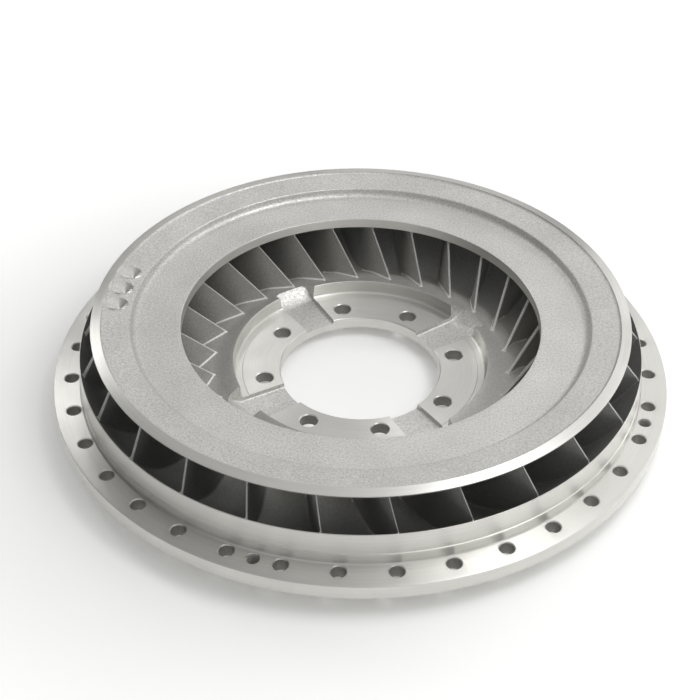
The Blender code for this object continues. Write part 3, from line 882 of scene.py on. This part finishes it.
def build_vane(number):
    """One vane: a thin curved wall with fillets at both ends, its edges and the root fillets near
    the eye painted pale as highlights.
    """
    sizes = bpy.context.scene.impeller_sizes
    half = sizes.vane_thickness / 2.0 / MM
    fillet = sizes.vane_fillet / MM
    start = VANE_START + 360.0 * number / VANES
    shares = np.concatenate([[0.0, 0.006], np.linspace(0.012, 0.988, 32) ** 1.15, [0.995, 1.0]])
    roots, root_across = vane_line(start, ROOT_INLET_RADIUS, ROOT_OUTLET_RADIUS, root_sweep, shares)
    tips, tip_across = vane_line(start, TIP_INLET_RADIUS, TIP_OUTLET_RADIUS, tip_sweep, shares)
    turns = np.radians(np.linspace(0.0, 90.0, FILLET_POINTS))
    flare = fillet * (1.0 - np.sin(turns))
    flares = np.concatenate([flare, np.zeros(WALL_POINTS), flare[::-1]])
    rings = []
    last = len(shares) - 1
    for i, share in enumerate(shares):
        body = half * (1.0 - vane_thinning(share))
        root, tip = roots[i], tips[i]
        low = smooth_height(SHELL_STATIONS, float(np.hypot(*root)))
        high = smooth_height(CORE_STATIONS, float(np.hypot(*tip)))
        tall = math.sqrt(float(np.sum((tip - root) ** 2)) + (high - low) ** 2)
        near = fillet * (1.0 - np.cos(turns)) / tall
        wall = np.linspace(near[-1], 1.0 - near[-1], WALL_POINTS + 2)[1:-1]
        levels = np.concatenate([near, wall, 1.0 - near[::-1]])
        thin = VANE_EDGE_BEVEL if i in (0, last) else 0.0
        sides = []
        for sign in (1.0, -1.0):
            foot = root + sign * root_across[i] * (body + fillet)
            head = tip + sign * tip_across[i] * (body + fillet)
            foot_height = smooth_height(SHELL_STATIONS, float(np.hypot(*foot))) - VANE_SINK
            head_height = smooth_height(CORE_STATIONS, float(np.hypot(*head))) + VANE_SINK
            side = []
            for level, out in zip(levels, flares):
                across = root_across[i] * (1.0 - level) + tip_across[i] * level
                spot = root * (1.0 - level) + tip * level + sign * across * (body + out - thin)
                side.append((*spot, foot_height * (1.0 - level) + head_height * level))
            sides.append(side)
        rings.append(sides[0] + sides[1][::-1])
    rows = np.array(rings)
    count, size = rows.shape[:2]
    verts = (rows.reshape(-1, 3) * MM).tolist()
    faces = []
    slots = []
    tall_count = size // 2
    root_fillets = (2, 3, size - 5, size - 4)  # root fillet faces near the eye, painted pale as a highlight
    for i in range(count - 1):
        for j in range(size):
            k = (j + 1) % size
            faces.append((i * size + j, (i + 1) * size + j, (i + 1) * size + k, i * size + k))
            # Edges, end caps and root fillets near the eye take the pale edge colour as a painted
            # highlight.
            painted_highlight = i in (0, count - 2) or (i < count // 3 and j in root_fillets)
            slots.append(1 if painted_highlight else 0)
    for base, flip in ((0, False), ((count - 1) * size, True)):
        for j in range(tall_count - 1):
            quad = (base + j, base + j + 1, base + size - 2 - j, base + size - 1 - j)
            faces.append(quad[::-1] if flip else quad)
            slots.append(1)
    name = "vane_{:02d}".format(number + 1)
    mesh = bpy.data.meshes.new(name + "_cast")
    mesh.from_pydata(verts, [], faces)
    mesh.materials.append(core_cast_aluminium())
    mesh.materials.append(edge_highlight_aluminium())
    mesh.polygons.foreach_set("material_index", slots)
    finish_mesh(mesh, 40.0)
    add_piece(name + "_cast", mesh, name)


def add_area(name, place, target, size, power):
    """Soft box of a given width and height that faces a point and that the camera doesn't see."""
    data = bpy.data.lights.new(name, "AREA")
    data.shape = "RECTANGLE"
    data.size, data.size_y = size
    data.energy = power
    lamp = bpy.data.objects.new(name, data)
    lamp.location = place
    lamp.visible_camera = False
    lamp.rotation_euler = (Vector(target) - Vector(place)).to_track_quat("-Z", "Y").to_euler()
    bpy.context.scene.collection.objects.link(lamp)


def build_floor():
    """Pale floor, just under the part's resting land."""
    mesh = bpy.data.meshes.new("studio_floor")
    corners = [(x * FLOOR_REACH, y * FLOOR_REACH, -FLOOR_DROP)
               for x, y in ((-1.0, -1.0), (1.0, -1.0), (1.0, 1.0), (-1.0, 1.0))]
    mesh.from_pydata(corners, [], [(0, 1, 2, 3)])
    mesh.materials.append(matte_floor())
    floor = bpy.data.objects.new("studio_floor", mesh)
    bpy.context.scene.collection.objects.link(floor)


def build_room_light(level):
    """Light of a pale room: brightest on the camera's side and overhead, with one high window."""
    world = bpy.data.worlds.new("studio_light")
    world.use_nodes = True
    tree = world.node_tree
    backdrop = tree.nodes["Background"]
    place = add_node(tree, "ShaderNodeTexCoord").outputs["Generated"]
    walls = add_node(tree, "ShaderNodeVectorMath", {1: FAR_SIDE}, {0: place},
                     operation="DOT_PRODUCT")
    parts = add_node(tree, "ShaderNodeSeparateXYZ", links={0: place})
    front = add_node(tree, "ShaderNodeMapRange", WALL_RANGE, {"Value": walls.outputs["Value"]},
                     interpolation_type="SMOOTHSTEP")
    ceiling = add_node(tree, "ShaderNodeMapRange", CEILING_RANGE, {"Value": parts.outputs[2]},
                       interpolation_type="SMOOTHSTEP")
    even = add_node(tree, "ShaderNodeMath", links={0: front.outputs[0], 1: ceiling.outputs[0]},
                    operation="ADD")
    window = add_node(tree, "ShaderNodeVectorMath", {1: WINDOW_DIRECTION}, {0: place},
                      operation="DOT_PRODUCT")
    spread = add_node(tree, "ShaderNodeMath", {1: WINDOW_FALLOFF, 2: -WINDOW_FALLOFF},
                      {0: window.outputs["Value"]}, operation="MULTIPLY_ADD")
    bright = add_node(tree, "ShaderNodeMath", links={0: spread.outputs[0]}, operation="EXPONENT")
    both = add_node(tree, "ShaderNodeMath", {1: WINDOW_LEVEL}, {0: bright.outputs[0],
                    2: even.outputs[0]}, operation="MULTIPLY_ADD")
    total = add_node(tree, "ShaderNodeMath", {1: level}, {0: both.outputs[0]},
                     operation="MULTIPLY")
    tree.links.new(total.outputs[0], backdrop.inputs["Strength"])
    backdrop.inputs["Color"].default_value = srgb("#FFFFFF")
    bpy.context.scene.world = world


def build_camera(studio):
    """Camera at the photograph's angle."""
    data = bpy.data.cameras.new("photo_camera")
    data.sensor_width = 36.0
    data.lens = studio.lens
    data.clip_start = 0.01
    camera = bpy.data.objects.new("photo_camera", data)
    aim = (Vector(studio.camera_target) - Vector(studio.camera_place)).to_track_quat("-Z", "Y")
    turn = Matrix.Rotation(studio.camera_roll, 4, "Z")
    camera.matrix_world = Matrix.Translation(studio.camera_place) @ aim.to_matrix().to_4x4() @ turn
    bpy.context.scene.collection.objects.link(camera)
    bpy.context.scene.camera = camera


def build_stage():
    """Floor, room light, soft boxes and camera."""
    studio = bpy.context.scene.impeller_studio
    build_floor()
    build_room_light(studio.sky)
    for box in SOFT_BOXES:
        add_area(*box)
    build_camera(studio)
    bpy.context.scene.view_settings.view_transform = "Standard"


class IMPELLER_OT_hub(bpy.types.Operator):
    """Add the hub, its bolt holes, notches and counterbore"""
    bl_idname = "impeller.hub"
    bl_label = "Hub and Counterbore"

    def execute(self, context):
        build_hub()
        return {"FINISHED"}


class IMPELLER_OT_shell(bpy.types.Operator):
    """Add the cast bowl under the vanes"""
    bl_idname = "impeller.shell"
    bl_label = "Shell Bowl"

    def execute(self, context):
        build_shell()
        return {"FINISHED"}


class IMPELLER_OT_flange(bpy.types.Operator):
    """Add the bolting flange with its clearance and tapped holes"""
    bl_idname = "impeller.flange"
    bl_label = "Bolting Flange"

    def execute(self, context):
        build_flange()
        return {"FINISHED"}


class IMPELLER_OT_band(bpy.types.Operator):
    """Add the turned band from the flange to the lip"""
    bl_idname = "impeller.band"
    bl_label = "Outlet Band"

    def execute(self, context):
        build_band()
        return {"FINISHED"}


class IMPELLER_OT_core_ring(bpy.types.Operator):
    """Add the core ring with its step, turned rim and balance drillings"""
    bl_idname = "impeller.core_ring"
    bl_label = "Core Ring"

    def execute(self, context):
        build_core_ring()
        return {"FINISHED"}


class IMPELLER_OT_vanes(bpy.types.Operator):
    """Add the 26 curved vanes with their fillets"""
    bl_idname = "impeller.vanes"
    bl_label = "Vanes"

    def execute(self, context):
        for number in range(VANES):
            build_vane(number)
        return {"FINISHED"}


class IMPELLER_OT_stage(bpy.types.Operator):
    """Add the floor, the lights and the camera"""
    bl_idname = "impeller.stage"
    bl_label = "Studio"

    def execute(self, context):
        build_stage()
        return {"FINISHED"}


OPERATORS = (IMPELLER_OT_hub, IMPELLER_OT_shell, IMPELLER_OT_flange, IMPELLER_OT_band,
             IMPELLER_OT_core_ring, IMPELLER_OT_vanes, IMPELLER_OT_stage)
GROUPS = (CastingSizes, FinishColours, StudioSettings)


class IMPELLER_PT_panel(bpy.types.Panel):
    """Lists the pieces of the impeller in the order in which they are built"""
    bl_idname = "IMPELLER_PT_panel"
    bl_label = "Torque Converter Impeller"
    bl_space_type = "VIEW_3D"
    bl_region_type = "UI"
    bl_category = "Impeller"

    def draw(self, context):
        for group in (context.scene.impeller_sizes, context.scene.impeller_colours,
                      context.scene.impeller_studio):
            box = self.layout.box()
            for name in group.__annotations__:
                box.prop(group, name)
        for operator in OPERATORS:
            self.layout.operator(operator.bl_idname)


def register():
    """Register the classes and hang the settings on the scene."""
    for cls in (*GROUPS, *OPERATORS, IMPELLER_PT_panel):
        bpy.utils.register_class(cls)
    bpy.types.Scene.impeller_sizes = PointerProperty(type=CastingSizes)
    bpy.types.Scene.impeller_colours = PointerProperty(type=FinishColours)
    bpy.types.Scene.impeller_studio = PointerProperty(type=StudioSettings)


def unregister():
    """Take the settings off the scene again."""
    del bpy.types.Scene.impeller_studio
    del bpy.types.Scene.impeller_colours
    del bpy.types.Scene.impeller_sizes
    for cls in reversed((*GROUPS, *OPERATORS, IMPELLER_PT_panel)):
        bpy.utils.unregister_class(cls)


def main():
    """Empty the start-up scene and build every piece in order."""
    for item in list(bpy.data.objects):
        if item.type in ("CAMERA", "LIGHT") or item.name == "Cube":
            bpy.data.objects.remove(item, do_unlink=True)
    register()
    bpy.ops.impeller.hub()
    bpy.ops.impeller.shell()
    bpy.ops.impeller.flange()
    bpy.ops.impeller.band()
    bpy.ops.impeller.core_ring()
    bpy.ops.impeller.vanes()
    bpy.ops.impeller.stage()


if __name__ == "__main__":
    main()
